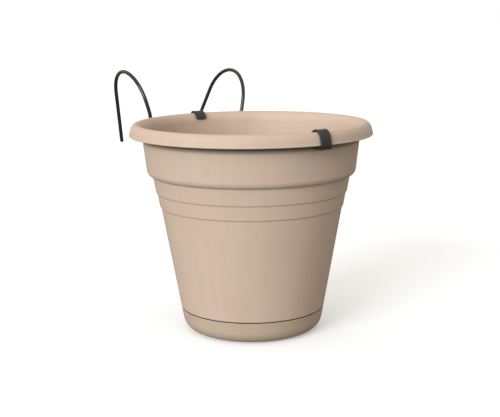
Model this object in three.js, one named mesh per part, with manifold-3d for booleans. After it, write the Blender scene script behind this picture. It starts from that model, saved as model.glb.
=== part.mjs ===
// A round tapered plant pot that hangs on a railing. It has a rolled rim, a click-on saucer, a wire
// bracket of one closed ring with two rail hooks, and two spring clips that hold rim and ring together.
//
// Millimetres. Z is up, +Y points at the rail, and the origin is the centre of the saucer's underside.

import * as THREE from "three";
import { mergeVertices } from "three/addons/utils/BufferGeometryUtils.js";
import Module from "manifold-3d";

// ---- Driving dimensions ----------------------------------------------------------------------------

const RIM_TOP = 208.6; // height of the rim's crown
const RIM_RADIUS = 120.4; // widest radius of the rim
const CROWN_RADIUS = 113.7; // radius of the crown's highest line
const MOUTH_RADIUS = 105.7; // inner radius where the rim has turned down into the wall
const LIP_DROP = 12.1; // from the crown down to the lip's lower edge
const WALL = 2; // thickness of every moulded wall
const TAPER = 0.178; // growth of radius per millimetre of height, lower cone

const SEAM_HEIGHT = 23.1; // middle of the seam between saucer and pot
const SEAM_RADIUS = 72.3; // radius of the cone at the seam
const SEAM_WIDTH = 1; // open width of the seam
const CORNER = 14.6; // radius of the saucer's bottom corner
const SAUCER_WALL = 2.2; // thickness of the saucer
const SOCKET_GAP = 0.5; // clearance between the pot's spigot and the saucer

const RINGS = [126, 140.4]; // heights of the two fine steps round the wall
const RING_STEP = 1; // each step's growth of radius
const SHOULDER_HEIGHT = 157.1; // foot of the rounded shoulder
const SHOULDER_RISE = 7.5; // height of the shoulder's curve
const SHOULDER_REACH = 5.9; // how far the shoulder stands out
const BAND_RADIUS = 107.7; // outer radius of the band just under the lip

const FLOOR_HEIGHT = 8.5; // underside of the pot's floor
const FOOT_RADIUS = 56; // outer radius of the foot ring under the floor
const NOTCHES = 6; // drain notches through the foot ring
const NOTCH_WIDTH = 8;
const HOLES = 8; // drain holes round the middle one
const HOLE_RADIUS = 4;
const HOLE_CIRCLE = 34;

const WIRE = 4; // diameter of the coated wire
const RING_RADIUS = 110.1; // radius of the bracket ring's centreline
const LEG_RADIUS = 123.2; // distance of each hook's leg from the pot's axis, outside the rim
const LEG_ANGLE = 26.2; // degrees from +Y to the foot of each leg
const BEND_RADIUS = 7; // bend between leg and foot
const SWEEP = 14; // degrees over which the foot sweeps in under the lip
const LAP = 12; // degrees over which the foot lies along the ring
const HOOK_REACH = 148.9; // distance of each arch's middle behind the pot's axis
const HOOK_OFFSET = 55.6; // sideways distance of each arch's middle at crown height
const HOOK_LEAN = 14.1; // degrees that each hook leans away from the other
const HOOK_TOE_IN = 1.1; // degrees that each hook's free leg turns toward the other
const ARCH_RADIUS = 38.3; // half width of the arch's curve
const ARCH_FLATNESS = 0.96; // height of the arch's curve over its half width
const ARCH_HEIGHT = 7.1; // middle of the arch's curve above the crown
const LEG_SPLAY = 7; // degrees that the attached leg splays
const FREE_SPLAY = 20; // degrees that the free leg splays
const FREE_END = -39.1; // end of the free leg, along the lean, from crown height
const TALLER_LEFT = 2.7; // the left hook is bent this much taller
const LONGER_LEFT = 2.1; // and its free leg reaches this much further down

const CLIP_WIDTH = 11.5;
const CLIP_THICKNESS = 1.9;
const CLIP_TOE_THICKNESS = 3.3; // the toe is thicker than the strip
const CLIP_GAP = 0.5; // clearance between clip and rim
const CLIP_INNER_END = 158; // degrees round the rim's section where the clip's inner leg ends
const CLIP_TOE_RADIUS = 108.9; // the clip's toe reaches in to this radius, under the ring
const REAR_CLIP_ANGLE = 88.5; // degrees from +X
const FRONT_CLIP_ANGLE = 271.5;

const GAP = 0.35; // clearance that faceted neighbours keep

const TURN_SEGMENTS = 60; // sides of a turned piece
const WIRE_SIDES = 8;
const HOOK_STEPS = 84;

// ---- Helpers ---------------------------------------------------------------------------------------

const wasm = await Module();
wasm.setup();

const radians = THREE.MathUtils.degToRad;

/** Points of an elliptical arc in the (radius, height) plane, from one angle to another in degrees. */
function arc(radius, height, halfWidth, halfHeight, from, to, steps) {
  const points = [];
  for (let i = 0; i <= steps; i += 1) {
    const angle = radians(from + ((to - from) * i) / steps);
    const r = radius + halfWidth * Math.cos(angle);
    points.push(new THREE.Vector2(r, height + halfHeight * Math.sin(angle)));
  }
  return points;
}

/** Turns a closed (radius, height) profile round the Z axis. */
function turned(profile) {
  const geometry = new THREE.LatheGeometry(profile, TURN_SEGMENTS);
  return geometry.rotateX(Math.PI / 2);
}

/** A point at a radius, an angle from +Y toward one side (-1 left, 1 right), and a height. */
function around(side, radius, degrees, height) {
  const angle = radians(degrees);
  return new THREE.Vector3(side * radius * Math.sin(angle), radius * Math.cos(angle), height);
}

/** Makes a manifold solid of a closed geometry, leaving out the flat triangles at a lathe's poles. */
function solidOf(geometry) {
  const bare = geometry.index ? geometry.toNonIndexed() : geometry.clone();
  bare.deleteAttribute("normal");
  bare.deleteAttribute("uv");
  const merged = mergeVertices(bare, 1e-4);
  const index = merged.index.array;
  const triVerts = [];
  for (let i = 0; i < index.length; i += 3) {
    const [a, b, c] = index.slice(i, i + 3);
    if (a !== b && b !== c && c !== a) triVerts.push(a, b, c);
  }
  const vertProperties = new Float32Array(merged.attributes.position.array);
  const mesh = new wasm.Mesh({ numProp: 3, vertProperties, triVerts: new Uint32Array(triVerts) });
  return new wasm.Manifold(mesh);
}

/** Makes a three.js geometry of a manifold solid. */
function geometryOf(solid) {
  const { vertProperties, triVerts } = solid.getMesh();
  const geometry = new THREE.BufferGeometry();
  geometry.setAttribute("position", new THREE.BufferAttribute(vertProperties, 3));
  geometry.setIndex(new THREE.BufferAttribute(triVerts, 1));
  geometry.computeVertexNormals();
  return geometry;
}

// ---- Outlines shared by pot, saucer and clips ------------------------------------------------------

const taperAngle = Math.atan(TAPER);
const cone = (height) => SEAM_RADIUS + TAPER * (height - SEAM_HEIGHT);
const cornerRadius = cone(CORNER) - CORNER / Math.cos(taperAngle);
const inset = (height, depth) => cone(height) - depth / Math.cos(taperAngle);
const spigotDepth = SAUCER_WALL + SOCKET_GAP;

/** The rounded corner between floor and wall, at a depth inside the saucer's outer surface. */
function corner(depth, fromAngle, steps) {
  const radius = CORNER - depth;
  return arc(cornerRadius, CORNER, radius, radius, fromAngle, -THREE.MathUtils.radToDeg(taperAngle), steps);
}

const lipHeight = RIM_TOP - LIP_DROP;
const ringHeight = lipHeight + WIRE / 2; // the ring's underside is level with the lip's edge
const rimMiddle = lipHeight + 0.9; // height of the rim's widest line
const rimRise = RIM_TOP - rimMiddle;

/** The rim's section from its widest line over the crown and down inside, grown by a distance. */
function rimArc(grow, innerEnd, steps) {
  const outer = RIM_RADIUS - CROWN_RADIUS + grow;
  const inner = CROWN_RADIUS - MOUTH_RADIUS + grow;
  const rise = rimRise + grow;
  return [
    ...arc(CROWN_RADIUS, rimMiddle, outer, rise, 0, 90, steps),
    ...arc(CROWN_RADIUS, rimMiddle, inner, rise, 90, innerEnd, steps).slice(1),
  ];
}

// ---- Pot -------------------------------------------------------------------------------------------

function makePot() {
  const point = (r, z) => new THREE.Vector2(r, z);
  const floorInCorner = (depth, height) => {
    const sine = (height - CORNER) / (CORNER - depth);
    return THREE.MathUtils.radToDeg(Math.asin(sine));
  };
  const footBottom = spigotDepth;
  const ledge = SEAM_HEIGHT + SEAM_WIDTH / 2;
  const floorTop = FLOOR_HEIGHT + WALL;
  const innerDepth = spigotDepth + WALL;

  const underside = [
    point(0, FLOOR_HEIGHT),
    point(FOOT_RADIUS - WALL, FLOOR_HEIGHT),
    point(FOOT_RADIUS - WALL, footBottom),
    point(FOOT_RADIUS, footBottom),
    point(FOOT_RADIUS, FLOOR_HEIGHT),
    ...corner(spigotDepth, floorInCorner(spigotDepth, FLOOR_HEIGHT), 2),
    point(inset(ledge, spigotDepth), ledge),
  ];

  const wall = [point(cone(ledge), ledge)];
  let growth = 0;
  for (const height of RINGS) {
    wall.push(point(cone(height - 0.5) + growth, height - 0.5));
    growth += RING_STEP;
    wall.push(point(cone(height + 0.5) + growth, height + 0.5));
  }
  const shoulderRadius = cone(SHOULDER_HEIGHT) + growth;
  const shoulderTop = SHOULDER_HEIGHT + SHOULDER_RISE;
  wall.push(...arc(shoulderRadius, shoulderTop, SHOULDER_REACH, SHOULDER_RISE, -90, 0, 5));

  const rollInside = [
    point(BAND_RADIUS, lipHeight),
    ...arc(CROWN_RADIUS, rimMiddle, CROWN_RADIUS - BAND_RADIUS, rimRise - WALL, 180, 90, 4),
    ...arc(CROWN_RADIUS, rimMiddle, RIM_RADIUS - WALL - CROWN_RADIUS, rimRise - WALL, 90, 0, 4).slice(1),
    point(RIM_RADIUS - WALL + 0.3, lipHeight),
    point(RIM_RADIUS - 0.8, lipHeight),
  ];

  const inside = [
    point(shoulderRadius + SHOULDER_REACH - WALL, shoulderTop + 1),
    point(shoulderRadius - WALL, SHOULDER_HEIGHT - 1),
    point(cone(RINGS[0]) - WALL + RING_STEP / 4, RINGS[0] - 6),
    point(cone(ledge + WALL) - WALL, ledge + WALL),
    point(inset(ledge - WALL, innerDepth), ledge - WALL),
    ...corner(innerDepth, floorInCorner(innerDepth, floorTop), 3).reverse(),
    point(0, floorTop),
  ];

  let pot = solidOf(turned([...underside, ...wall, ...rollInside, ...rimArc(0, 180, 5), ...inside]));

  const drill = new THREE.CylinderGeometry(HOLE_RADIUS, HOLE_RADIUS, 4 * WALL, 16).rotateX(Math.PI / 2);
  const floorMiddle = FLOOR_HEIGHT + WALL / 2;
  pot = pot.subtract(solidOf(drill.clone().translate(0, 0, floorMiddle)));
  for (let i = 0; i < HOLES; i += 1) {
    const hole = drill.clone().translate(HOLE_CIRCLE, 0, floorMiddle);
    pot = pot.subtract(solidOf(hole.rotateZ(radians((360 * i) / HOLES))));
  }
  const notchHeight = FLOOR_HEIGHT - footBottom;
  for (let i = 0; i < NOTCHES; i += 1) {
    const notch = new THREE.BoxGeometry(4 * WALL, NOTCH_WIDTH, 2 * (notchHeight - 1));
    notch.translate(FOOT_RADIUS - WALL / 2, 0, footBottom).rotateZ(radians((360 * i) / NOTCHES));
    pot = pot.subtract(solidOf(notch));
  }
  return geometryOf(pot);
}

// ---- Saucer ----------------------------------------------------------------------------------------

function makeSaucer() {
  const edge = SEAM_HEIGHT - SEAM_WIDTH / 2;
  const chamfer = 0.4;
  return turned([
    new THREE.Vector2(0, 0),
    ...corner(0, -90, 5),
    new THREE.Vector2(cone(edge - chamfer), edge - chamfer),
    new THREE.Vector2(cone(edge) - chamfer, edge),
    new THREE.Vector2(inset(edge, SAUCER_WALL), edge),
    ...corner(SAUCER_WALL, -90, 5).reverse(),
    new THREE.Vector2(0, SAUCER_WALL),
  ]);
}

// ---- Wire bracket ----------------------------------------------------------------------------------

function makeRing() {
  const section = arc(RING_RADIUS, ringHeight, WIRE / 2, WIRE / 2, -180, 180, WIRE_SIDES);
  return turned(section);
}

/** The wire's centreline: along the ring, out under the lip, up outside the rim, over the rail, down. */
function hookPath(side) {
  const points = [];
  const footHeight = ringHeight - WIRE - GAP;
  const bend = THREE.MathUtils.radToDeg(BEND_RADIUS / LEG_RADIUS);
  const sweepStart = LEG_ANGLE + bend;

  for (let i = 0; i <= 4; i += 1) {
    const angle = sweepStart + SWEEP + LAP * (1 - i / 4);
    points.push(around(side, RING_RADIUS, angle, footHeight));
  }
  for (let i = 1; i <= 5; i += 1) {
    const share = i / 5;
    const radius = THREE.MathUtils.lerp(RING_RADIUS, LEG_RADIUS, THREE.MathUtils.smoothstep(share, 0, 1));
    points.push(around(side, radius, sweepStart + SWEEP * (1 - share), footHeight));
  }
  for (let i = 1; i <= 3; i += 1) {
    const turn = (Math.PI / 2) * (i / 3);
    const angle = LEG_ANGLE + bend * (1 - Math.sin(turn));
    points.push(around(side, LEG_RADIUS, angle, footHeight + BEND_RADIUS * (1 - Math.cos(turn))));
  }

  const lean = radians(HOOK_LEAN);
  const toeIn = radians(HOOK_TOE_IN);
  const outward = new THREE.Vector3(-side * Math.sin(toeIn), Math.cos(toeIn), 0);
  const upward = new THREE.Vector3(Math.cos(toeIn), side * Math.sin(toeIn), 0)
    .multiplyScalar(side * Math.sin(lean))
    .add(new THREE.Vector3(0, 0, Math.cos(lean)));
  const taller = side < 0 ? TALLER_LEFT : 0;
  const middle = new THREE.Vector3(side * HOOK_OFFSET, HOOK_REACH, RIM_TOP + taller);
  const place = (reach, height) =>
    middle.clone().addScaledVector(outward, reach).addScaledVector(upward, height);

  const archEnd = (splay) => Math.atan(ARCH_FLATNESS * Math.tan(radians(splay)));
  const start = Math.PI - archEnd(LEG_SPLAY);
  const finish = archEnd(FREE_SPLAY);
  const archPoint = (angle) => [
    ARCH_RADIUS * Math.cos(angle),
    ARCH_HEIGHT + ARCH_RADIUS * ARCH_FLATNESS * Math.sin(angle),
  ];

  const [legReach, legHeight] = archPoint(start);
  for (const height of [1, (1 + legHeight) / 2]) {
    points.push(place(legReach - (legHeight - height) * Math.tan(radians(LEG_SPLAY)), height));
  }
  const archSteps = 12;
  for (let i = 0; i <= archSteps; i += 1) {
    points.push(place(...archPoint(start + ((finish - start) * i) / archSteps)));
  }
  const [freeReach, freeHeight] = archPoint(finish);
  const freeEnd = side < 0 ? FREE_END - LONGER_LEFT : FREE_END;
  for (const share of [0.33, 0.67, 1]) {
    const height = THREE.MathUtils.lerp(freeHeight, freeEnd, share);
    points.push(place(freeReach + (freeHeight - height) * Math.tan(radians(FREE_SPLAY)), height));
  }
  return new THREE.CatmullRomCurve3(points, false, "centripetal");
}

function makeHook(side) {
  const section = new THREE.Shape();
  for (let i = 0; i < WIRE_SIDES; i += 1) {
    const angle = (2 * Math.PI * i) / WIRE_SIDES;
    const [x, y] = [(WIRE / 2) * Math.cos(angle), (WIRE / 2) * Math.sin(angle)];
    if (i === 0) section.moveTo(x, y);
    else section.lineTo(x, y);
  }
  section.closePath();
  return new THREE.ExtrudeGeometry(section, {
    steps: HOOK_STEPS,
    bevelEnabled: false,
    extrudePath: hookPath(side),
  });
}

// ---- Clips -----------------------------------------------------------------------------------------

/** A clip is a bent strip: toe under lip and ring, up the lip's face, over the crown, down inside. */
function makeClip() {
  const near = CLIP_GAP;
  const far = CLIP_GAP + CLIP_THICKNESS;
  const toeTop = lipHeight - GAP;
  const toeBottom = toeTop - CLIP_TOE_THICKNESS;
  const outline = [
    new THREE.Vector2(CLIP_TOE_RADIUS, toeBottom),
    new THREE.Vector2(RIM_RADIUS + far - 1, toeBottom),
    new THREE.Vector2(RIM_RADIUS + far, toeBottom + 1),
    ...rimArc(far, CLIP_INNER_END, 5),
    ...rimArc(near, CLIP_INNER_END, 5).reverse(),
    new THREE.Vector2(RIM_RADIUS + near, toeTop),
    new THREE.Vector2(CLIP_TOE_RADIUS, toeTop),
  ];
  const strip = new THREE.ExtrudeGeometry(new THREE.Shape(outline), {
    depth: CLIP_WIDTH,
    bevelEnabled: false,
  });
  return strip.translate(0, 0, -CLIP_WIDTH / 2).rotateX(Math.PI / 2);
}

// ---- Assembly --------------------------------------------------------------------------------------

const taupePlastic = new THREE.MeshStandardMaterial({ color: 0xc9b5a3, roughness: 0.55, metalness: 0 });
const saucerPlastic = new THREE.MeshStandardMaterial({ color: 0xc1af9b, roughness: 0.55, metalness: 0 });
const coatedWire = new THREE.MeshStandardMaterial({ color: 0x2b2c2e, roughness: 0.4, metalness: 0 });
const clipPlastic = new THREE.MeshStandardMaterial({ color: 0x3a3f42, roughness: 0.5, metalness: 0 });

function named(name, geometry, material) {
  const mesh = new THREE.Mesh(geometry, material);
  mesh.name = name;
  return mesh;
}

function makeBracket() {
  const bracket = new THREE.Group();
  bracket.add(named("bracket_ring", makeRing(), coatedWire));
  bracket.add(named("hook_left", makeHook(-1), coatedWire));
  bracket.add(named("hook_right", makeHook(1), coatedWire));
  return bracket;
}

function placedClip(name, degrees) {
  const clip = named(name, makeClip(), clipPlastic);
  clip.rotation.z = radians(degrees);
  return clip;
}

const basket = new THREE.Group();
basket.add(named("pot", makePot(), taupePlastic));
basket.add(named("saucer", makeSaucer(), saucerPlastic));
basket.add(makeBracket());
basket.add(placedClip("clip_rear", REAR_CLIP_ANGLE));
basket.add(placedClip("clip_front", FRONT_CLIP_ANGLE));

export default basket;
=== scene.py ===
# %% [markdown]
# # A plant pot that hangs on a railing
#
# The real thing is a round pot of moulded plastic with a rolled rim, standing in its own saucer. A wire
# ring sits in the hollow under the rim, two hooks are welded to the ring and go over a railing, and two
# spring clips grip rim and ring together. The measured frame comes from the CAD model, and everything
# here is made around it, so the first step is to load it and to note how large it is.

import math

import bpy
import numpy as np
from mathutils import Matrix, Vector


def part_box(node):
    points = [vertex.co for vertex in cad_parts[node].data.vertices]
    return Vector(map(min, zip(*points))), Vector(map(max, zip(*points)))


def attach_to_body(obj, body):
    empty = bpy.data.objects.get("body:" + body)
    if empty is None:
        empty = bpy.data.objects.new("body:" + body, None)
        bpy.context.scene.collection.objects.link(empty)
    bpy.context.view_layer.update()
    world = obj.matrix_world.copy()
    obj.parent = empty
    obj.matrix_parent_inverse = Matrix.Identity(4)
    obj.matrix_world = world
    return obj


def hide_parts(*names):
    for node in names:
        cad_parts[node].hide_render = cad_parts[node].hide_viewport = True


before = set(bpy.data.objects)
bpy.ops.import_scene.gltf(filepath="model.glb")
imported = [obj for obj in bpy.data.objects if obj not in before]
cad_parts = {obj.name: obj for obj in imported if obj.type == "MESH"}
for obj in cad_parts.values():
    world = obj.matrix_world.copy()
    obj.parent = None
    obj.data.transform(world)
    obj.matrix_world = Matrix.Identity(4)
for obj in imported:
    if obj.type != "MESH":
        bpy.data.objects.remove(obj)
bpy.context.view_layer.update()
print("measured parts:", sorted(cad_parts))

# %% [markdown]
# ## The camera
#
# The camera stands about a metre away with a fairly long lens, a little above the rim. It could be
# aimed with a constraint, but a matrix made of its three axes says exactly where right, up and back
# are, and a small roll is then easy to add.

# %% Camera
MM = 0.001

CAMERA_AZIMUTH = math.radians(238)
CAMERA_DISTANCE = 1017.1
CAMERA_HEIGHT = 313.4
CAMERA_PITCH = math.radians(10.71)
CAMERA_ROLL = math.radians(-0.554)
CAMERA_LENS = 74.16
CAMERA_SENSOR = 36
CAMERA_SHIFT = -0.0035


def make_camera():
    """Stands the camera on its azimuth, facing the pot's axis, then pitches it down and rolls it.

    The matrix holds four columns: right, up, back, and the place where the camera stands.
    """
    outward = np.array([math.cos(CAMERA_AZIMUTH), math.sin(CAMERA_AZIMUTH), 0.0])
    position = outward * CAMERA_DISTANCE + np.array([0, 0, CAMERA_HEIGHT])
    forward = -outward * math.cos(CAMERA_PITCH) - np.array([0, 0, math.sin(CAMERA_PITCH)])
    level_right = np.array([-outward[1], outward[0], 0.0])
    level_up = np.cross(level_right, forward)
    cos, sin = math.cos(CAMERA_ROLL), math.sin(CAMERA_ROLL)
    right = cos * level_right + sin * level_up
    up = cos * level_up - sin * level_right
    matrix = np.eye(4)
    matrix[:3, :] = np.stack([right, up, -forward, position * MM], axis=1)
    data = bpy.data.cameras.new("camera")
    data.lens = CAMERA_LENS
    data.sensor_width = CAMERA_SENSOR
    data.shift_x = CAMERA_SHIFT
    data.clip_end = 100
    camera = bpy.data.objects.new("camera", data)
    camera.matrix_world = Matrix(matrix.tolist())
    bpy.context.scene.collection.objects.link(camera)
    bpy.context.scene.camera = camera
    return camera


camera = make_camera()
print("camera at", [round(x, 3) for x in camera.matrix_world.translation])

# %% [markdown]
# ## Sizes from the frame
#
# Sizes that the frame can give are read from it, in millimetres: the rim's top and widest radius, the
# saucer's edge, the ring of wire and the direction of each clip. Only what a box can't tell, such as a
# corner's radius or a hook's lean, is given below by name, next to the piece that needs it.

# %% Sizes from the frame


def box_mm(node):
    """The lowest and highest corner of a measured part, in millimetres."""
    return [np.array(corner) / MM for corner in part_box(node)]


def azimuth_of(node):
    """The direction in which a part lies from the pot's axis, from the mean of its corner points."""
    points = np.empty(len(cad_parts[node].data.vertices) * 3, np.float32)
    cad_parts[node].data.vertices.foreach_get("co", points)
    middle = points.reshape(-1, 3).mean(axis=0)
    return math.atan2(middle[1], middle[0])


RIM_RADIUS, RIM_TOP = box_mm("pot")[1][[0, 2]]
SAUCER_EDGE = box_mm("saucer")[1][2]
RING_LOW, RING_HIGH = box_mm("bracket_ring")
WIRE = RING_HIGH[2] - RING_LOW[2]
RING_RADIUS = RING_HIGH[0] - WIRE / 2
RING_HEIGHT = (RING_HIGH[2] + RING_LOW[2]) / 2
print(f"rim radius {RIM_RADIUS:.1f}, rim top {RIM_TOP:.1f}, saucer edge {SAUCER_EDGE:.1f}")
print(f"wire {WIRE:.1f} thick, its ring {RING_RADIUS:.1f} in radius and {RING_HEIGHT:.1f} high")

# %% [markdown]
# ## One mesh helper for every piece
#
# A moulded pot, a bent wire and a clip are all the same thing to a mesh: rows of points, each row a
# loop, joined to the next row by quads. The rows may close on themselves, as a wire ring does, or end
# in a fan round one point, as a wire's cut end does. One helper for both keeps every surface closed
# and facing out, and smooth shading stops only where two faces meet at a real edge.

# %% A closed surface from rows of points
SHARP_ANGLE = math.radians(40)


def closed_surface(name, rows, first=None, last=None):
    """Joins rows of points, shaped (rows, points in a row, 3) in millimetres, into one closed mesh.

    Each row is a loop. With a first and a last point, a fan closes each end; without them the last row
    joins the first. Looking along a row, with the next row above it, the outside is on the right.
    """
    count, around = rows.shape[:2]
    index = np.arange(count * around).reshape(count, around)
    here = index if first is None else index[:-1]
    after = np.roll(index, -1, axis=0)[: len(here)]
    corners = [here, np.roll(here, -1, axis=1), np.roll(after, -1, axis=1), after]
    faces = np.stack(corners, axis=2).reshape(-1, 4).tolist()
    points = rows.reshape(-1, 3)
    if first is not None:
        low, high = np.full(around, count * around), np.full(around, count * around + 1)
        faces += np.stack([low, np.roll(index[0], -1), index[0]], axis=1).tolist()
        faces += np.stack([high, index[-1], np.roll(index[-1], -1)], axis=1).tolist()
        points = np.vstack([points, first, last])
    mesh = bpy.data.meshes.new(name)
    mesh.from_pydata((points * MM).tolist(), [], faces)
    return placed(name, mesh)


def placed(name, mesh):
    """Gives a mesh its object at the origin, shaded smooth except at real edges."""
    mesh.polygons.foreach_set("use_smooth", np.ones(len(mesh.polygons), dtype=bool))
    mesh.set_sharp_from_angle(angle=SHARP_ANGLE)
    piece = bpy.data.objects.new(name, mesh)
    bpy.context.scene.collection.objects.link(piece)
    return piece


# %% [markdown]
# ## Outlines: arcs and rounded corners
#
# A mould is cut by tools with a radius, so no corner of a moulded part is truly sharp, and it is the
# little rounding on each edge that catches the light. An outline is written as corners, each with the
# distance over which it is rounded. The rounding is a quadratic curve, which the corner pulls on, and
# long straight stretches get extra points near their ends, so that shading bends only at the corners.

# %% Outline helpers


def arc(radius, height, half_width, half_height, start, end, steps=12):
    """Points of an ellipse about (radius, height), from one angle to another in degrees.

    The point at angle a is (radius + half_width cos a, height + half_height sin a).
    """
    angle = np.radians(np.linspace(start, end, steps + 1))
    return np.stack([radius + half_width * np.cos(angle), height + half_height * np.sin(angle)], axis=1)


def unit(vectors):
    """Vectors of length one in the same directions."""
    return vectors / np.linalg.norm(vectors, axis=-1, keepdims=True)


def bent(*parts, steps=6):
    """Rounds an outline's corners. A part is one (x, y, rounding) corner, or an array of curve points.

    With s from 0 to 1, a rounded corner is (1-s)^2 start + 2s(1-s) corner + s^2 end, where start and
    end lie the rounding's distance before and after it.
    """
    listed = [
        np.column_stack([part, np.zeros(len(part))]) if isinstance(part, np.ndarray) else np.array([part])
        for part in parts
    ]
    corners = np.vstack(listed)
    points, rounding = corners[:, :2], corners[:, 2:]
    start = points + rounding * unit(np.roll(points, 1, axis=0) - points)
    end = points + rounding * unit(np.roll(points, -1, axis=0) - points)
    share = np.linspace(0, 1, steps + 1)[None, :, None]
    curves = (1 - share) ** 2 * start[:, None] + 2 * share * (1 - share) * points[:, None]
    curves = curves + share**2 * end[:, None]
    sharp = rounding[:, 0] == 0
    return np.vstack([points[i : i + 1] if sharp[i] else curves[i] for i in range(len(points))])


def supported(outline, hold=0.4, longest=7):
    """Splits every long straight stretch, first a short hold from each end and then evenly."""
    pieces = []
    for start, end in zip(outline[:-1], outline[1:]):
        length = np.linalg.norm(end - start)
        share = np.zeros(1)
        if length > 4 * hold:
            inner = np.linspace(hold, length - hold, math.ceil(length / longest) + 1)
            share = np.concatenate([share, inner / length])
        pieces.append(start + np.outer(share, end - start))
    return np.vstack([*pieces, outline[-1:]])


TURN_STEPS = 192


def turned(name, outline, steps=TURN_STEPS):
    """Turns an outline of (radius, height) round the Z axis: x = radius cos t, y = radius sin t.

    The outline starts on the axis underneath, runs out and up the outside, and ends on the axis.
    """
    turn = np.linspace(0, 2 * np.pi, steps, endpoint=False)
    radius, height = outline[1:-1, :1], outline[1:-1, 1:]
    level = height * np.ones_like(turn)
    rows = np.stack([radius * np.cos(turn), radius * np.sin(turn), level], axis=2)
    return closed_surface(name, rows, (0, 0, outline[0, 1]), (0, 0, outline[-1, 1]))


# %% [markdown]
# ## The pot
#
# The pot is one moulding with two millimetre walls: a cone with two fine steps, a rounded shoulder, and
# a rim that rolls out and down over a hollow. It could be modelled as a cylinder whose rings are scaled
# by hand, but a turned part is fully described by half of its section, so the section is what is drawn.
# The cone and the shoulder are straight lines and quarter ellipses, and the rim is two half ellipses.

# %% The pot's and the saucer's common lines
WALL = 2
SEAM_HEIGHT = 23.1
SEAM_WIDTH = 1
SEAM_RADIUS = 72.3
TAPER = 0.178
SAUCER_CORNER = 14.6
SAUCER_WALL = 2.2
SOCKET_GAP = 0.5
FLOOR_HEIGHT = 8.5

LEAN = math.atan(TAPER)
SPIGOT_DEPTH = SAUCER_WALL + SOCKET_GAP
CORNER_MIDDLE = SEAM_RADIUS + TAPER * (SAUCER_CORNER - SEAM_HEIGHT) - SAUCER_CORNER / math.cos(LEAN)


def cone(height, depth=0):
    """Radius of the cone at a height, at a depth inside its surface."""
    return SEAM_RADIUS + TAPER * (height - SEAM_HEIGHT) - depth / math.cos(LEAN)


def base_corner(depth, floor, steps=14):
    """The round corner between floor and cone, at a depth inside the saucer's outer surface."""
    radius = SAUCER_CORNER - depth
    start = math.degrees(math.asin((floor - SAUCER_CORNER) / radius))
    return arc(CORNER_MIDDLE, SAUCER_CORNER, radius, radius, start, -math.degrees(LEAN), steps)


print(f"the cone grows from {cone(SEAM_HEIGHT):.1f} at the seam to {cone(RIM_TOP):.1f} at the rim's height")

# %% The pot's wall, from the seam up to the lip
STEP_HEIGHTS = (126, 140.4)
STEP_OUT = 1
SHOULDER_HEIGHT = 157.1
SHOULDER_RISE = 7.5
SHOULDER_REACH = 5.9
BAND_RADIUS = 107.7
LIP_DROP = 12.1
STEP_ROUND = 0.35
STEP_BLEND = 0.45
SHOULDER_ROUND = 0.4

ledge = SEAM_HEIGHT + SEAM_WIDTH / 2
lip_height = RIM_TOP - LIP_DROP
shoulder_radius = cone(SHOULDER_HEIGHT) + STEP_OUT * len(STEP_HEIGHTS)
shoulder_top = SHOULDER_HEIGHT + SHOULDER_RISE
band_foot = shoulder_radius + SHOULDER_REACH


def wall_outline():
    """Outside of the wall: each step stands out a little further, and the shoulder is a quarter ellipse."""
    corners = [(cone(ledge, SPIGOT_DEPTH), ledge, 0.5), (cone(ledge), ledge, STEP_ROUND)]
    for index, height in enumerate(STEP_HEIGHTS):
        below, above = height - STEP_OUT / 2, height + STEP_OUT / 2
        corners.append((cone(below) + STEP_OUT * index, below, STEP_ROUND))
        corners.append((cone(above) + STEP_OUT * (index + 1), above, STEP_BLEND))
    corners.append((shoulder_radius, SHOULDER_HEIGHT - SHOULDER_ROUND, SHOULDER_ROUND))
    shoulder = arc(shoulder_radius, shoulder_top, SHOULDER_REACH, SHOULDER_RISE, -83, 0, 16)
    return [*corners, shoulder]


# %% The rolled rim
CROWN_RADIUS = 113.7
MOUTH_RADIUS = 105.7
BEAD = 0.8
BEAD_OUT = 0.6

rim_middle = lip_height + 0.9
rim_rise = RIM_TOP - rim_middle


def rim_curve(widest, grow, inner_end, steps=20):
    """The rim's section from its widest line over the crown and down inside, grown by a distance."""
    outer, inner = widest - CROWN_RADIUS + grow, CROWN_RADIUS - MOUTH_RADIUS + grow
    over = arc(CROWN_RADIUS, rim_middle, outer, rim_rise + grow, 0, 90, steps)
    down = arc(CROWN_RADIUS, rim_middle, inner, rim_rise + grow, 90, inner_end, steps)
    return np.vstack([over, down[1:]])


def lip_outline():
    """The hollow under the rim, the lip's lower edge, and the bead that stiffens that edge."""
    outer = RIM_RADIUS - WALL - CROWN_RADIUS
    hollow_in = arc(CROWN_RADIUS, rim_middle, CROWN_RADIUS - BAND_RADIUS, rim_rise - WALL, 180, 90, 12)
    hollow_out = arc(CROWN_RADIUS, rim_middle, outer, rim_rise - WALL, 90, 0, 12)
    bead = arc(RIM_RADIUS - BEAD, lip_height + BEAD, BEAD, BEAD, -90, 55, 10)
    edge = (RIM_RADIUS - WALL + 0.1, lip_height, 0.3)
    return [hollow_in, hollow_out[1:], edge, bead]


# %% The pot's section, and the pot turned from it
FOOT_RADIUS = 56
FOOT_ROUND = 0.5
FOOT_ROOT = 0.6
INNER_ROUND = 3


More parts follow.
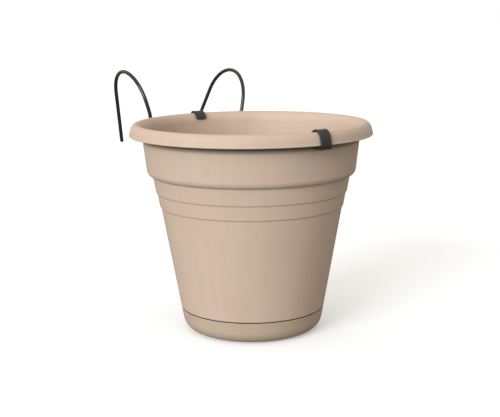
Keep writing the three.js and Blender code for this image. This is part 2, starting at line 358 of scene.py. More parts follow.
def pot_outline():
    """Half of the pot's section, from the middle underneath round the outside to the middle inside."""
    foot_inside = FOOT_RADIUS - WALL
    floor_top = FLOOR_HEIGHT + WALL
    inner_depth = SPIGOT_DEPTH + WALL
    turn_in = ledge + WALL
    below_steps = STEP_HEIGHTS[0] - 6
    inside = [
        (band_foot - WALL, shoulder_top + 1, INNER_ROUND),
        (shoulder_radius - WALL, SHOULDER_HEIGHT - 1, INNER_ROUND),
        (cone(below_steps) - 0.7 * WALL, below_steps, INNER_ROUND),
        (cone(turn_in) - WALL, turn_in, 1),
        (cone(ledge - WALL, inner_depth), ledge - WALL, 1),
    ]
    # The crown's first points are left out, where the bead stands in their place.
    crown = rim_curve(RIM_RADIUS - BEAD_OUT, 0, 180)[3:]
    outline = bent(
        (0, FLOOR_HEIGHT, 0),
        (foot_inside, FLOOR_HEIGHT, FOOT_ROOT),
        (foot_inside, SPIGOT_DEPTH, FOOT_ROUND),
        (FOOT_RADIUS, SPIGOT_DEPTH, FOOT_ROUND),
        (FOOT_RADIUS, FLOOR_HEIGHT - 0.1, FOOT_ROOT),
        base_corner(SPIGOT_DEPTH, FLOOR_HEIGHT, 6),
        *wall_outline(),
        (BAND_RADIUS, lip_height, 1.2),
        *lip_outline(),
        crown,
        *inside,
        base_corner(inner_depth, floor_top, 8)[::-1],
        (0, floor_top, 0),
    )
    return supported(outline)


pot = turned("pot_moulding", pot_outline())
print(f"pot: {len(pot.data.polygons)} faces before its holes are cut")

# %% [markdown]
# ## Drain holes and foot notches
#
# Water leaves through nine round holes in the floor and then through notches in the ring foot below it.
# The holes could be part of the grid only if the whole floor were laid out around them, so here a
# boolean is the better tool. Each cutter is waisted like a cotton reel, which leaves a rounded lip on
# the hole, as a moulding pin does. All the cutters sit in one collection, so one modifier cuts them all.

# %% Cutters
HOLE_RADIUS = 4
HOLE_CIRCLE = 34
HOLE_COUNT = 8
HOLE_LIP = 0.5
NOTCH_COUNT = 6
NOTCH_WIDTH = 8
NOTCH_ROUND = 2.5
CUTTER_SPARE = 0.2
CUTTER_REACH = 3


def hole_cutter(name, x, y):
    """A reel as long as the floor is thick: it is as wide as the hole, and flares at both faces."""
    flare = HOLE_RADIUS + HOLE_LIP
    bottom, top = FLOOR_HEIGHT, FLOOR_HEIGHT + WALL
    outline = np.vstack([
        (0, bottom - CUTTER_SPARE),
        (flare + CUTTER_SPARE / 2, bottom - CUTTER_SPARE),
        arc(flare, bottom + HOLE_LIP, HOLE_LIP, HOLE_LIP, -125, -180, 5),
        arc(flare, top - HOLE_LIP, HOLE_LIP, HOLE_LIP, 180, 125, 5),
        (flare + CUTTER_SPARE / 2, top + CUTTER_SPARE),
        (0, top + CUTTER_SPARE),
    ])
    cutter = turned(name, outline, steps=40)
    cutter.data.transform(Matrix.Translation((x * MM, y * MM, 0)))
    return cutter


def notch_cutter(name, angle):
    """An arch-topped slot that goes through the foot ring, along one radius."""
    half, low, high = NOTCH_WIDTH / 2, SPIGOT_DEPTH - 2, FLOOR_HEIGHT - 1
    section = bent((-half, low, 0), (half, low, 0), (half, high, NOTCH_ROUND), (-half, high, NOTCH_ROUND))
    reach = np.array([FOOT_RADIUS - WALL - CUTTER_REACH, FOOT_RADIUS + CUTTER_REACH])
    across = np.array([-math.sin(angle), math.cos(angle), 0])
    along = np.array([math.cos(angle), math.sin(angle), 0])
    loop = section[:, :1] * across + section[:, 1:] * np.array([0, 0, 1])
    rows = loop[None] + reach[:, None, None] * along
    return closed_surface(name, rows, rows[0].mean(axis=0), rows[1].mean(axis=0))


def make_cutters():
    """The middle hole, the circle of holes round it, and the notches."""
    cutters = [hole_cutter("hole_middle", 0, 0)]
    for index in range(HOLE_COUNT):
        angle = 2 * math.pi * index / HOLE_COUNT
        x, y = HOLE_CIRCLE * math.cos(angle), HOLE_CIRCLE * math.sin(angle)
        cutters.append(hole_cutter(f"hole_{index}", x, y))
    for index in range(NOTCH_COUNT):
        cutters.append(notch_cutter(f"notch_{index}", 2 * math.pi * index / NOTCH_COUNT))
    return cutters


# %% Cut the pot


def cut(piece, cutters):
    """Takes the cutters out of a piece with one exact boolean, keeps the result, and removes them."""
    tools = bpy.data.collections.new("cutters")
    for cutter in cutters:
        tools.objects.link(cutter)
    modifier = piece.modifiers.new("holes", "BOOLEAN")
    modifier.operand_type = "COLLECTION"
    modifier.collection = tools
    modifier.solver = "EXACT"
    graph = bpy.context.evaluated_depsgraph_get()
    result = bpy.data.meshes.new_from_object(piece.evaluated_get(graph))
    name = piece.name
    for used in (piece, *cutters):
        bpy.data.meshes.remove(used.data)
    bpy.data.collections.remove(tools)
    return placed(name, result)


pot = cut(pot, make_cutters())
print(f"pot: {len(pot.data.polygons)} faces with {HOLE_COUNT + 1} holes and {NOTCH_COUNT} notches")

# %% [markdown]
# ## The saucer
#
# The saucer is a shallow dish that carries the cone on down to a large round corner. The pot's foot
# drops inside it, and a gap a millimetre wide is left between them, which shows as a dark line; painted
# shade on the spigot's root and on the saucer's top edge darkens that line further. Its section is drawn
# like the pot's, with a shallow dimple in the middle underneath, where the plastic entered the mould.

# %% Saucer
DIMPLE_RADIUS = 3.2
DIMPLE_DEPTH = 0.6
DIMPLE_ROUND = 0.3


def saucer_outline():
    """Half of the saucer's section, from the middle underneath round the edge to the middle inside."""
    outline = bent(
        (0, DIMPLE_DEPTH, 0),
        (DIMPLE_RADIUS - DIMPLE_DEPTH, DIMPLE_DEPTH, DIMPLE_ROUND),
        (DIMPLE_RADIUS, 0, DIMPLE_ROUND),
        base_corner(0, 0),
        (cone(SAUCER_EDGE), SAUCER_EDGE, 0.6),
        (cone(SAUCER_EDGE, SAUCER_WALL), SAUCER_EDGE, 0.4),
        base_corner(SAUCER_WALL, SAUCER_WALL)[::-1],
        (0, SAUCER_WALL, 0),
    )
    return supported(outline)


saucer = turned("saucer_moulding", saucer_outline())
print(f"saucer: {len(saucer.data.polygons)} faces, {2 * cone(SAUCER_EDGE):.1f} mm across its edge")

# %% [markdown]
# ## The wire ring
#
# The ring is one wire bent to a circle. It is a torus, so both ways round it close on themselves, and
# the surface helper needs no end points.

# %% Ring
WIRE_SIDES = 24


def make_ring():
    """A torus: the distance from the axis is R + r cos b and the height is r sin b."""
    around = np.linspace(0, 2 * np.pi, WIRE_SIDES, endpoint=False)
    turn = np.linspace(0, 2 * np.pi, TURN_STEPS, endpoint=False)[:, None]
    radius = RING_RADIUS + WIRE / 2 * np.cos(around)
    height = RING_HEIGHT + WIRE / 2 * np.sin(around) + 0 * turn
    rows = np.stack([radius * np.cos(turn), radius * np.sin(turn), height], axis=2)
    return closed_surface("wire_ring", rows[::-1])


ring = make_ring()
print(f"ring: {len(ring.data.polygons)} faces")

# %% [markdown]
# ## The hooks
#
# Each hook is one length of wire. It lies along the ring for a short lap, where it is welded, sweeps out
# under the lip, turns up close outside the rim, goes over the railing in a wide flattened arch, and
# comes down again with its free leg splayed. A curve object with hand-placed points would do, but the
# bends are easier to keep true when each stretch is a line, an arc or an ellipse. The joined route is
# then spaced evenly and smoothed a little, because wire bends softly and never kinks.

# %% The hooks' sizes
GAP = 0.35
LEG_RADIUS = 123.2
LEG_ANGLE = 26.2
BEND_RADIUS = 7
SWEEP = 14
LAP = 12
HOOK_REACH = 148.9
HOOK_OFFSET = 55.6
HOOK_LEAN = math.radians(14.1)
HOOK_TOE_IN = math.radians(1.1)
ARCH_RADIUS = 38.3
ARCH_FLATNESS = 0.96
ARCH_HEIGHT = 7.1
LEG_SPLAY = math.radians(7)
FREE_SPLAY = math.radians(20)
FREE_END = -39.1
TALLER_LEFT = 2.7
LONGER_LEFT = 2.1

foot_height = RING_HEIGHT - WIRE - GAP
leg_turn = math.degrees(BEND_RADIUS / LEG_RADIUS)
sweep_end = LEG_ANGLE + leg_turn + SWEEP

# %% The route of a hook


def around_pot(side, radius, degrees, height):
    """Points at a radius, an angle from +Y toward one side (-1 left, 1 right), and a height."""
    angle = np.radians(degrees)
    x, y = side * radius * np.sin(angle), radius * np.cos(angle)
    return np.stack(np.broadcast_arrays(x, y, height), axis=-1)


def hook_foot(side):
    """The lap along the ring, the sweep out on an S curve 3s^2 - 2s^3, and the quarter bend upward."""
    lap = around_pot(side, RING_RADIUS, np.linspace(sweep_end + LAP, sweep_end, 12), foot_height)
    share = np.linspace(0, 1, 16)[1:]
    radius = RING_RADIUS + (LEG_RADIUS - RING_RADIUS) * share**2 * (3 - 2 * share)
    sweep = around_pot(side, radius, sweep_end - SWEEP * share, foot_height)
    turn = np.linspace(0, math.pi / 2, 8)[1:]
    rise = foot_height + BEND_RADIUS * (1 - np.cos(turn))
    bend = around_pot(side, LEG_RADIUS, LEG_ANGLE + leg_turn * (1 - np.sin(turn)), rise)
    return np.vstack([lap, sweep, bend])


def hook_plane(side):
    """The arch's plane: its middle, the way out over the rail, and the leaning way up."""
    outward = np.array([-side * math.sin(HOOK_TOE_IN), math.cos(HOOK_TOE_IN), 0])
    sideways = np.array([math.cos(HOOK_TOE_IN), side * math.sin(HOOK_TOE_IN), 0])
    upward = side * math.sin(HOOK_LEAN) * sideways + np.array([0, 0, math.cos(HOOK_LEAN)])
    taller = TALLER_LEFT if side < 0 else 0
    return np.array([side * HOOK_OFFSET, HOOK_REACH, RIM_TOP + taller]), outward, upward


def hook_arch(side):
    """The leg, the half ellipse over the rail, and the free leg, all in the leaning plane."""
    ends = [math.atan(ARCH_FLATNESS * math.tan(splay)) for splay in (LEG_SPLAY, FREE_SPLAY)]
    angle = np.linspace(math.pi - ends[0], ends[1], 80)
    reach = ARCH_RADIUS * np.cos(angle)
    height = ARCH_HEIGHT + ARCH_RADIUS * ARCH_FLATNESS * np.sin(angle)
    leg_height = np.linspace(1, height[0], 8)[:-1]
    leg_reach = reach[0] - (height[0] - leg_height) * math.tan(LEG_SPLAY)
    free_end = FREE_END - LONGER_LEFT if side < 0 else FREE_END
    free_height = np.linspace(height[-1], free_end, 20)[1:]
    free_reach = reach[-1] + (height[-1] - free_height) * math.tan(FREE_SPLAY)
    middle, outward, upward = hook_plane(side)
    reach = np.concatenate([leg_reach, reach, free_reach])[:, None]
    height = np.concatenate([leg_height, height, free_height])[:, None]
    return middle + reach * outward + height * upward


# %% Even spacing, smoothing and rounded ends


def spaced(points, distances):
    """The points at the given distances along a route, found by linear interpolation."""
    lengths = np.linalg.norm(np.diff(points, axis=0), axis=1)
    travelled = np.concatenate([[0], np.cumsum(lengths)])
    return np.stack([np.interp(distances, travelled, points[:, k]) for k in range(3)], axis=1)


def length_of(points):
    """The length of a route, summed over its steps."""
    return np.linalg.norm(np.diff(points, axis=0), axis=1).sum()


def relaxed(points, window=9):
    """Each point becomes a bell-weighted mean of its neighbours. Both ends are mirrored to stay put."""
    weights = np.hanning(window + 2)[1:-1]
    weights = weights / weights.sum()
    half = window // 2
    before = 2 * points[0] - points[half:0:-1]
    after = 2 * points[-1] - points[-2 : -half - 2 : -1]
    padded = np.vstack([before, points, after])
    return np.stack([np.convolve(padded[:, k], weights, mode="valid") for k in range(3)], axis=1)


def end_steps(length, rounding, step):
    """Distances along a route: close together over the rounded ends and evenly spaced between them."""
    rounded = rounding * (1 - np.cos(np.linspace(0, np.pi / 2, 7)))
    middle = np.linspace(rounding, length - rounding, int(length / step))
    return np.concatenate([rounded[:-1], middle, length - rounded[-2::-1]])


def end_inset(distances, rounding):
    """How much narrower a round-ended piece is at each distance: r - sqrt(r^2 - (r - s)^2) near an end."""
    from_end = np.minimum(distances, distances[-1] - distances)
    left = np.clip(rounding - from_end, 0, rounding)
    return rounding - np.sqrt(rounding**2 - left**2)


# %% A section carried along a route


def carried(route, across, section):
    """Carries a section along a route. section is (rows or 1, points, 2) in millimetres.

    T is the route's direction, A is the across vector with its part along T taken out, and B = T x A.
    A point of the surface is route + u A + v B.
    """
    direction = unit(np.gradient(route, axis=0))
    along_a = unit(across - (direction @ across)[:, None] * direction)
    along_b = np.cross(direction, along_a)
    return route[:, None] + section[..., :1] * along_a[:, None] + section[..., 1:] * along_b[:, None]


# %% Hooks
WIRE_END = 1.1
WIRE_STEP = 1.2


def make_hook(name, side):
    """A round wire carried along the hook's route, with both cut ends rounded."""
    route = np.vstack([hook_foot(side), hook_arch(side)])
    even = relaxed(spaced(route, np.arange(0, length_of(route), 1.0)))
    distances = end_steps(length_of(even), WIRE_END, WIRE_STEP)
    centre = spaced(even, distances)
    radius = WIRE / 2 - end_inset(distances, WIRE_END)
    around = np.linspace(0, 2 * np.pi, WIRE_SIDES, endpoint=False)
    circle = np.stack([np.cos(around), np.sin(around)], axis=1)
    outward, upward = hook_plane(side)[1:]
    rows = carried(centre, np.cross(outward, upward), radius[:, None, None] * circle)
    print(f"{name}: {length_of(centre):.0f} mm of wire, {len(rows)} rings of points")
    return closed_surface(name, rows, centre[0], centre[-1])


hooks = {-1: make_hook("wire_hook_left", -1), 1: make_hook("wire_hook_right", 1)}

# %% [markdown]
# ## Weld beads
#
# Ring and hook are joined by two short resistance welds on each lap, dipped in coating with the rest.
# They hide in the hollow under the rim, but from below they are what makes the bracket look made. Each
# is a small lump: an ellipsoid whose radius swells and shrinks a little, so that no two look alike.

# %% Weld beads
BEAD_HALF = np.array([3.2, 1.5, 1.35])
BEAD_WAVE = 0.09
BEAD_PLACES = (0.25, 0.8)


def make_weld(name, side, degrees, seed):
    """An ellipsoid with a gentle wave on its radius, turned to lie along the ring.

    With u round and w from pole to pole, the radius is 1 + wave sin(2u + seed) sin(3w + 2 seed).
    """
    u = np.linspace(0, 2 * np.pi, 24, endpoint=False)
    w = np.linspace(0, np.pi, 15)[1:-1, None]
    swell = 1 + BEAD_WAVE * np.sin(2 * u + seed) * np.sin(3 * w + 2 * seed)
    ball = np.stack([-np.cos(w) + 0 * u, np.sin(w) * np.cos(u), np.sin(w) * np.sin(u)], axis=2)
    ball = ball * swell[..., None] * BEAD_HALF
    middle = around_pot(side, RING_RADIUS, degrees, (foot_height + RING_HEIGHT) / 2)
    outward = unit(middle * np.array([1, 1, 0]))
    up = np.array([0, 0, 1])
    axes = np.stack([np.cross(outward, up), outward, up])
    rows = middle + ball @ axes
    ends = middle + np.outer([-BEAD_HALF[0], BEAD_HALF[0]], axes[0])
    return closed_surface(name, rows, ends[0], ends[1])


welds = []
for side, side_name in ((-1, "left"), (1, "right")):
    for number, share in enumerate(BEAD_PLACES, start=1):
        seed = 2.1 * number + side
        welds.append(make_weld(f"weld_{side_name}_{number}", side, sweep_end + LAP * share, seed))
print(f"{len(welds)} weld beads between ring and hooks")

# %% [markdown]
# ## The clips
#
# Each clip is a strip of dark nylon that springs over the rim: its toe reaches in under the lip and the
# ring, and its back follows the rim's section over the crown and a little way down inside. It has a
# raised edge along both sides, which stiffens it. A box bent by a modifier would lose that edge at the
# tight corner, so a drawn section is carried along the strip's middle line instead, and the result is
# wrapped round the pot, since the rim that it hugs is round.

# %% Clips
CLIP_WIDTH = 11.5
CLIP_THICKNESS = 1.9
CLIP_GAP = 0.5
CLIP_INNER_END = 158
CLIP_TOE_RADIUS = 108.9
CLIP_TOE_THICKNESS = 3.3
CLIP_BEND = 1.6
CLIP_STEP = 0.5
CLIP_CORNER = 2.4
CLIP_EDGE = 0.6
CLIP_RIDGE = 0.3
CLIP_RIDGE_WIDTH = 1.3
CLIP_RIDGE_SLOPE = 0.4
CLIP_ROUND = 0.5


def clip_section():
    """The strip's section: u is across the strip and v is toward the rim, so the ridges are at low v."""
    half, back = CLIP_WIDTH / 2, CLIP_THICKNESS / 2
    crest = -back - CLIP_RIDGE / 3
    ridge = half - CLIP_RIDGE_WIDTH
    foot = ridge - CLIP_RIDGE_SLOPE
    return bent(
        (half, back, CLIP_ROUND),
        (-half, back, CLIP_ROUND),
        (-half, crest, CLIP_ROUND),
        (-ridge, crest, CLIP_RIDGE),
        (-foot, crest + CLIP_RIDGE, CLIP_RIDGE),
        (foot, crest + CLIP_RIDGE, CLIP_RIDGE),
        (ridge, crest, CLIP_RIDGE),
        (half, crest, CLIP_ROUND),
    )


def make_clip(name, azimuth):
    """The clip's section carried from its toe to its inner end, wrapped round the pot, then turned.

    Where the strip runs outward, along the toe, its face is let down by the toe's extra thickness.
    """
    middle = CLIP_GAP + CLIP_THICKNESS / 2
    toe = lip_height - GAP - CLIP_THICKNESS / 2
    back = rim_curve(RIM_RADIUS, middle, CLIP_INNER_END)
    line = bent((CLIP_TOE_RADIUS, toe, 0), (RIM_RADIUS + middle, toe, CLIP_BEND), back)
    flat = np.stack([line[:, 0], 0 * line[:, 0], line[:, 1]], axis=1)
    distances = end_steps(length_of(flat), CLIP_CORNER, CLIP_STEP)
    route = spaced(flat, distances)
    section = clip_section()
    half = np.array([CLIP_WIDTH, CLIP_THICKNESS]) / 2
    inset = np.stack([end_inset(distances, CLIP_CORNER), end_inset(distances, CLIP_EDGE)], axis=1)
    shrink = 1 - inset / half
    rows = carried(route, np.array([0, 1, 0]), shrink[:, None] * section)
    outward = np.clip(unit(np.gradient(route, axis=0))[:, :1], 0, 1)
    rows[..., 2] -= (CLIP_TOE_THICKNESS - CLIP_THICKNESS) * outward * (section[:, 1] < 0)
    points = np.vstack([rows.reshape(-1, 3), route[:1], route[-1:]])
    radius, across = points[:, 0], points[:, 1]
    reach = np.sqrt(radius**2 - across**2)
    cos, sin = math.cos(azimuth), math.sin(azimuth)
    x, y = reach * cos - across * sin, reach * sin + across * cos
    wrapped = np.stack([x, y, points[:, 2]], axis=1)
    return closed_surface(name, wrapped[:-2].reshape(rows.shape), wrapped[-2], wrapped[-1])


clips = {node: make_clip(f"nylon_{node}", azimuth_of(node)) for node in ("clip_rear", "clip_front")}
print(f"clips at {[round(math.degrees(azimuth_of(node)) % 360, 1) for node in clips]} degrees")

# %% [markdown]
# ## Colours and one node helper
#
# Colours are easiest to choose as the sRGB hex values that a paint chart gives, but shaders count light,
# so one function turns them to linear. Materials are small trees of nodes, and one helper adds a node
# with its settings and its links, which keeps each material short enough to read at a glance. Patterns
# are laid out on Object coordinates, which are metres here, so a lump of one millimetre needs a scale of
# a thousand.

# %% Colour and node helpers


def linear(hex_colour):
    """An sRGB hex colour as linear RGBA: c / 12.92 when dark, and ((c + 0.055) / 1.055)^2.4 otherwise."""
    channels = np.array([int(hex_colour[i : i + 2], 16) for i in (1, 3, 5)]) / 255
    light = np.where(channels <= 0.04045, channels / 12.92, ((channels + 0.055) / 1.055) ** 2.4)
    return (*light.tolist(), 1.0)


def feed(node, inputs):
    """Gives each named input a value, or a link from a socket or from another node's first output."""
    for name, value in inputs.items():
        source = value.outputs[0] if isinstance(value, bpy.types.Node) else value
        if isinstance(source, bpy.types.NodeSocket):
            node.id_data.links.new(source, node.inputs[name])
        else:
            node.inputs[name].default_value = source


def add(tree, kind, inputs=None, **settings):
    """Adds a node, sets its properties, and feeds its inputs."""
    node = tree.nodes.new(kind)
    for name, value in settings.items():
        setattr(node, name, value)
    feed(node, inputs or {})
    return node


def scale_of(size_mm):
    """The scale at which a noise has lumps about size_mm across: one over that size in metres."""
    return 1 / (size_mm * MM)


def new_material(name, roughness, ior):
    """A material with one Principled shader, whose even values are set on the shader itself."""
    material = bpy.data.materials.new(name)
    material.use_nodes = True
    shader = material.node_tree.nodes["Principled BSDF"]
    feed(shader, {"Roughness": roughness, "IOR": ior})
    return material, material.node_tree, shader


# %% [markdown]
# ## Moulded polypropylene
#
# The pot is injection moulded from dyed polypropylene. The mould is spark eroded, so the skin has a fine
# dull grain that spreads the highlight wide and soft. The dye is never mixed perfectly: there is a slow
# mottle in the colour, and faint streaks run up the wall, the way the plastic flowed from its gate.
# Streaks that follow a round wall need a coordinate that does: the direction from the axis, as a unit
# vector, changes round the pot and not along it. The crown, which hands rub, is a little shinier. Two
# crevices, the slot above the saucer and the hollow under the rim, get painted shade: their colour is
# darkened to brown, because a plain sky with no room around it lets more light into them than a real
# room does.

# %% Places on a round wall
STREAK_SPREAD = 0.1
STREAK_RISE = 0.12


def place_nodes(tree):
    """Object coordinates, the level direction from the axis, the distance from it, and the height."""
    place = add(tree, "ShaderNodeTexCoord").outputs["Object"]
    level = add(tree, "ShaderNodeVectorMath", {0: place, 1: (1, 1, 0)}, operation="MULTIPLY")
    facing = add(tree, "ShaderNodeVectorMath", {0: level}, operation="NORMALIZE")
    radius = add(tree, "ShaderNodeVectorMath", {0: level}, operation="LENGTH").outputs["Value"]
    height = add(tree, "ShaderNodeSeparateXYZ", {0: place}).outputs["Z"]
    return place, facing, radius, height


def flow_place(tree, place, facing):
    """Coordinates for flow streaks: the direction from the axis, scaled down, and a slow height."""
    spread = add(tree, "ShaderNodeVectorMath", {0: facing, "Scale": STREAK_SPREAD}, operation="SCALE")
    rise = add(tree, "ShaderNodeVectorMath", {0: place, 1: (0, 0, STREAK_RISE)}, operation="MULTIPLY")
    return add(tree, "ShaderNodeVectorMath", {0: spread, 1: rise}, operation="ADD")


# %% Painted shade in the crevices
SPIGOT_FADE = 2.5
HOLLOW_FADE = 9
HOLLOW_TOP = 5
HOLLOW_BLEND = 2
WALL_BLEND = 0.4
EDGE_BLEND = 0.1
HAIR = 0.01  # keeps a shade just off the level face where it ends

lip_inside = RIM_RADIUS - WALL
# Painted shade: each table lists the fades, in height and radius, of one crevice whose colour is darkened to
# brown.
PAINTED_SHADE_AT_SPIGOT_ROOT = (
    ("height", SAUCER_EDGE - SPIGOT_FADE, ledge),
    ("height", ledge + 3 * HAIR, ledge + HAIR),
)
PAINTED_SHADE_IN_RIM_HOLLOW = (
    ("height", lip_height - HOLLOW_FADE, lip_height),
    ("height", lip_height + HOLLOW_TOP, lip_height + HOLLOW_TOP - HOLLOW_BLEND),
    ("radius", BAND_RADIUS - 1, BAND_RADIUS - 1 + WALL_BLEND),
    ("radius", lip_inside + WALL_BLEND / 2, lip_inside - WALL_BLEND / 2),
)
PAINTED_SHADE_ON_SAUCER_TOP = (("height", SAUCER_EDGE - EDGE_BLEND - 2 * HAIR, SAUCER_EDGE - 2 * HAIR),)


def painted_shade_depth(tree, lengths, crevices):
    """How deep in painted shade a place is: the product of the fades of each crevice, and the largest of
    those.

    A fade is (length, start mm, end mm). It grows smoothly from 0 at its start to 1 at its end, and its
    end may be the smaller of the two.
    """
    deepest = 0.0
    for fades in crevices:
        share = 1.0
        for length, start, end in fades:
            reach = {"Value": lengths[length], "From Min": start * MM, "From Max": end * MM}
            fade = add(tree, "ShaderNodeMapRange", reach, interpolation_type="SMOOTHSTEP")
            share = add(tree, "ShaderNodeMath", {0: share, 1: fade}, operation="MULTIPLY")
        deepest = add(tree, "ShaderNodeMath", {0: deepest, 1: share}, operation="MAXIMUM")
    return deepest


# %% Moulded polypropylene
GRAIN_SIZE = 0.9  # real spark-eroded grain is about 0.15 mm, drawn coarser so that it shows at all
GRAIN_DEPTH = 0.06
STREAK_SIZE = 9
MOTTLE_SIZE = 55
RUBBED_HEIGHT = 8
RUBBED_SHINE = 0.08
UNEVEN_SHINE = 0.05
# the dark brown of the painted shade in the crevices
PAINTED_SHADE_BROWN = "#20160e"


def moulded_polypropylene(name, hex_colour, hex_streak, roughness, *crevices):
    """Dull, slightly mottled moulded plastic. It gives the eye a soft, wide highlight and no mirror.

    In the crevices, the colour is darkened to brown: painted shade.
    """
    material, tree, shader = new_material(name, roughness, 1.49)
    place, facing, radius, height = place_nodes(tree)
    slow = {"Vector": place, "Scale": scale_of(MOTTLE_SIZE), "Detail": 3}
    mottle = add(tree, "ShaderNodeTexNoise", slow)
    flow = {"Vector": flow_place(tree, place, facing), "Scale": scale_of(STREAK_SIZE)}
    streaks = add(tree, "ShaderNodeTexNoise", {**flow, "Detail": 4, "Roughness": 0.6})
    both = add(tree, "ShaderNodeMath", {0: mottle, 1: streaks}, operation="MULTIPLY")
    spread = {"Value": both, "From Min": 0.1, "From Max": 0.46}
    blend = add(tree, "ShaderNodeMapRange", spread, interpolation_type="SMOOTHSTEP")
    dyes = {0: blend, 6: linear(hex_colour), 7: linear(hex_streak)}
    dyed = add(tree, "ShaderNodeMix", dyes, data_type="RGBA").outputs[2]
    # Painted shade: in the crevices the dyed colour is mixed toward a dark brown.
    depth = painted_shade_depth(tree, {"radius": radius, "height": height}, crevices)
    depths = {0: depth, 6: dyed, 7: linear(PAINTED_SHADE_BROWN)}
    colour = add(tree, "ShaderNodeMix", depths, data_type="RGBA").outputs[2]

    crown = {"Value": height, "From Min": (RIM_TOP - RUBBED_HEIGHT) * MM, "From Max": RIM_TOP * MM}
    crown |= {"To Min": roughness, "To Max": roughness - RUBBED_SHINE}
    rubbed = add(tree, "ShaderNodeMapRange", crown)
    wander = {"Value": streaks, "To Min": -UNEVEN_SHINE, "To Max": UNEVEN_SHINE}
    uneven = add(tree, "ShaderNodeMapRange", wander)
    dullness = add(tree, "ShaderNodeMath", {0: rubbed, 1: uneven}, operation="ADD")

    grain = add(tree, "ShaderNodeTexNoise", {"Vector": place, "Scale": scale_of(GRAIN_SIZE)})
    relief = {"Height": grain, "Strength": 0.25, "Distance": GRAIN_DEPTH * MM}
    skin = add(tree, "ShaderNodeBump", relief)
    feed(shader, {"Base Color": colour, "Roughness": dullness, "Normal": skin, "Specular IOR Level": 0.3})
    return material


TAUPE = ("moulded_polypropylene_taupe", "#c1afa0", "#bdaa9b", 0.56)
SAUCER_TAUPE = ("moulded_polypropylene_saucer", "#b4a392", "#b09f8e", 0.54)
pot_plastic = moulded_polypropylene(*TAUPE, PAINTED_SHADE_AT_SPIGOT_ROOT, PAINTED_SHADE_IN_RIM_HOLLOW)
saucer_plastic = moulded_polypropylene(*SAUCER_TAUPE, PAINTED_SHADE_ON_SAUCER_TOP)
print("plastics:", pot_plastic.name, saucer_plastic.name)

# %% [markdown]
# ## Coated wire and moulded nylon
#
# The bracket is steel wire dipped in black plastic. A dipped coat is smooth but never quite level, so it
# has a slight orange peel, which breaks its narrow bright highlight into a wandering line. The clips
# are nylon filled with glass fibre: dark grey, satin, with short pale flecks where fibres reach the skin.

# %% Coated wire
COAT_PATCH = 14
COAT_PEEL = 2.2
COAT_DEPTH = 0.15


def dipped_black_coating():
    """Black dip coating on wire. It gives the eye a thin bright line down a dark round bar."""
    material, tree, shader = new_material("dipped_black_wire_coating", 0.2, 1.52)
    place = add(tree, "ShaderNodeTexCoord").outputs["Object"]
    patches = add(tree, "ShaderNodeTexNoise", {"Vector": place, "Scale": scale_of(COAT_PATCH)})
    blend = add(tree, "ShaderNodeMapRange", {"Value": patches, "From Min": 0.35, "From Max": 0.65})
    blacks = {0: blend, 6: linear("#1c1d1f"), 7: linear("#252628")}
    colour = add(tree, "ShaderNodeMix", blacks, data_type="RGBA").outputs[2]
    gloss = add(tree, "ShaderNodeMapRange", {"Value": patches, "To Min": 0.12, "To Max": 0.26})
    peel = add(tree, "ShaderNodeTexNoise", {"Vector": place, "Scale": scale_of(COAT_PEEL), "Detail": 1})
    skin = add(tree, "ShaderNodeBump", {"Height": peel, "Strength": 0.3, "Distance": COAT_DEPTH * MM})
    feed(shader, {"Base Color": colour, "Roughness": gloss, "Normal": skin})
    return material


wire_coating = dipped_black_coating()
print("wire:", wire_coating.name)

# %% Moulded nylon
FLECK_SIZE = 0.5  # real fibres are about 0.3 mm long and far thinner, drawn coarser so that they show
FLECK_DEPTH = 0.08
NYLON_PATCH = 6


def glass_filled_nylon():
    """Dark grey filled nylon, satin. It gives the eye a soft sheen along edges and a few pale flecks."""
    material, tree, shader = new_material("glass_filled_nylon_dark_grey", 0.4, 1.53)
    place = add(tree, "ShaderNodeTexCoord").outputs["Object"]
    stretch = add(tree, "ShaderNodeMapping", {"Vector": place, "Scale": (1, 1, 0.3)})
    flecks = add(tree, "ShaderNodeTexNoise", {"Vector": stretch, "Scale": scale_of(FLECK_SIZE), "Detail": 1})
    blend = add(tree, "ShaderNodeMapRange", {"Value": flecks, "From Min": 0.62, "From Max": 0.8})
    greys = {0: blend, 6: linear("#1c1f21"), 7: linear("#484c4f")}
    colour = add(tree, "ShaderNodeMix", greys, data_type="RGBA").outputs[2]
    patches = add(tree, "ShaderNodeTexNoise", {"Vector": place, "Scale": scale_of(NYLON_PATCH)})
    satin = add(tree, "ShaderNodeMapRange", {"Value": patches, "To Min": 0.38, "To Max": 0.52})
    skin = add(tree, "ShaderNodeBump", {"Height": flecks, "Strength": 0.2, "Distance": FLECK_DEPTH * MM})
    feed(shader, {"Base Color": colour, "Roughness": satin, "Normal": skin})
    return material


nylon = glass_filled_nylon()
print("clips:", nylon.name)

# %% [markdown]
# ## Finish, body and measured part of each piece
#
# Every fine piece now gets its material, hides the measured part it stands for, and rides on the body
# that part belongs to, so that it moves as the part moves. The weld beads stand for nothing measured,
# and go with the bracket that they hold together.

# %% Finish and attach


def attach(piece, material, slot, body, *nodes):
    """Gives a piece its material, sets it on its body, and hides the parts it stands for. The slot is not
    used.
    """
    piece.data.materials.clear()
    piece.data.materials.append(material)
    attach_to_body(piece, body)
    if nodes:
        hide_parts(*nodes)


attach(pot, pot_plastic, "pot_plastic", "pot", "pot")
attach(saucer, saucer_plastic, "saucer_plastic", "saucer", "saucer")
attach(ring, wire_coating, "coated_wire", "bracket", "bracket_ring")
attach(hooks[-1], wire_coating, "coated_wire", "bracket", "hook_left")
attach(hooks[1], wire_coating, "coated_wire", "bracket", "hook_right")
for weld in welds:
    attach(weld, wire_coating, "coated_wire", "bracket")
for node, clip in clips.items():
    attach(clip, nylon, "clip_plastic", node, node)

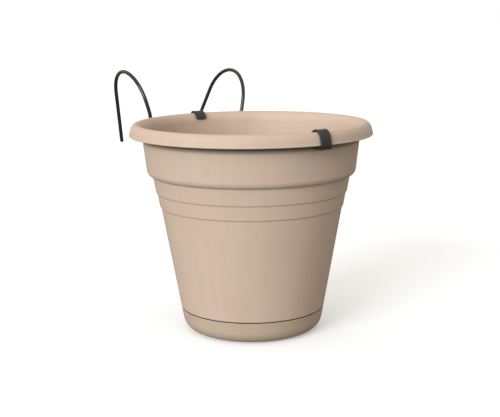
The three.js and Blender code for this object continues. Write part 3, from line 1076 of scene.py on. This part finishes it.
# %% [markdown]
# ## A white table and soft light
#
# The pot stands on a white table, with one wide soft lamp low on the left and an even light from above.
# The lamp is a sun with a large angle, which acts like a big softbox a long way off. A white table
# would light the hollows from below and flatten them, so the table is seen but gives no light of its
# own to the pot, and what lights the pot from below is a dim warm glow in the sky. The light is a little
# warm, so the table is a little blue, and glows faintly, to look plain white. It goes with the saucer,
# which stands on it.

# %% Table
TABLE_RADIUS = 30000
TABLE_THICKNESS = 20
TABLE_GLOW = 0.24


def make_table():
    """A wide thin disc of white acrylic, its top level with the saucer's underside.

    It gives the eye a plain bright ground with a faint shadow.
    """
    low = -TABLE_THICKNESS
    outline = np.array([(0, low), (TABLE_RADIUS, low), (TABLE_RADIUS, 0), (0, 0)], float)
    table = turned("table", outline, 96)
    material, _, shader = new_material("white_acrylic_table", 0.8, 1.45)
    feed(shader, {"Base Color": linear("#eef4fc"), "Specular IOR Level": 0})
    feed(shader, {"Emission Color": linear("#ffffff"), "Emission Strength": TABLE_GLOW})
    table.data.materials.append(material)
    table.visible_diffuse = False
    table.visible_glossy = False
    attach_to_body(table, "saucer")


make_table()

# %% Lamp and sky
LAMP_AZIMUTH = math.radians(203)
LAMP_ELEVATION = math.radians(17)
LAMP_STRENGTH = 2.65
LAMP_ANGLE = math.radians(34)
SKY_ABOVE = 0.82
SKY_RIM = 0.72
SKY_BELOW = 0.24
SKY_WARMTH = "#fff5e8"
BAND_STRENGTH = 1.0
ABOVE_FADE = (0.08, 0.6)
BELOW_FADE = (-0.1, 0)
BAND_TOP = (0.03, 0.05)
BAND_FOOT = (-0.03, -0.02)


def make_lamp():
    """A soft sun that shines from its azimuth and elevation: its own -Z axis points the way light goes."""
    data = bpy.data.lights.new("softbox", "SUN")
    data.energy = LAMP_STRENGTH
    data.angle = LAMP_ANGLE
    lamp = bpy.data.objects.new("softbox", data)
    lamp.rotation_euler = (math.pi / 2 - LAMP_ELEVATION, 0, LAMP_AZIMUTH + math.pi / 2)
    bpy.context.scene.collection.objects.link(lamp)


def make_sky():
    """Warm white overhead, a thin white band on the horizon, and dark below.

    The dome fades from SKY_ABOVE overhead to SKY_RIM at the horizon and on to SKY_BELOW underneath. Each
    fade runs between two heights of the direction, which are -1 straight down and 1 straight up.
    """
    world = bpy.data.worlds.new("studio")
    world.use_nodes = True
    tree = world.node_tree
    direction = add(tree, "ShaderNodeTexCoord").outputs["Object"]
    height = add(tree, "ShaderNodeSeparateXYZ", {0: direction}).outputs["Z"]
    fades = []
    for (low, high), (start, end) in (
        (ABOVE_FADE, (SKY_RIM, SKY_ABOVE)),
        (BELOW_FADE, (SKY_BELOW, SKY_RIM)),
        (BAND_TOP, (1, 0)),
        (BAND_FOOT, (0, 1)),
    ):
        reach = {"Value": height, "From Min": low, "From Max": high, "To Min": start, "To Max": end}
        fades.append(add(tree, "ShaderNodeMapRange", reach))
    above, below, band_top, band_foot = fades
    upper = add(tree, "ShaderNodeMath", {0: height, 1: 0.0}, operation="GREATER_THAN")
    dome = add(tree, "ShaderNodeMix", {0: upper, 2: below, 3: above})
    band = add(tree, "ShaderNodeMath", {0: band_top, 1: band_foot}, operation="MULTIPLY")
    strength = add(tree, "ShaderNodeMix", {0: band, 2: dome, 3: BAND_STRENGTH})
    tints = {0: band, 6: linear(SKY_WARMTH), 7: linear("#ffffff")}
    colour = add(tree, "ShaderNodeMix", tints, data_type="RGBA").outputs[2]
    feed(tree.nodes["Background"], {"Color": colour, "Strength": strength})
    bpy.context.scene.world = world


make_lamp()
make_sky()
bpy.context.scene.view_settings.view_transform = "Standard"
print("one lamp, a sky and a white table")
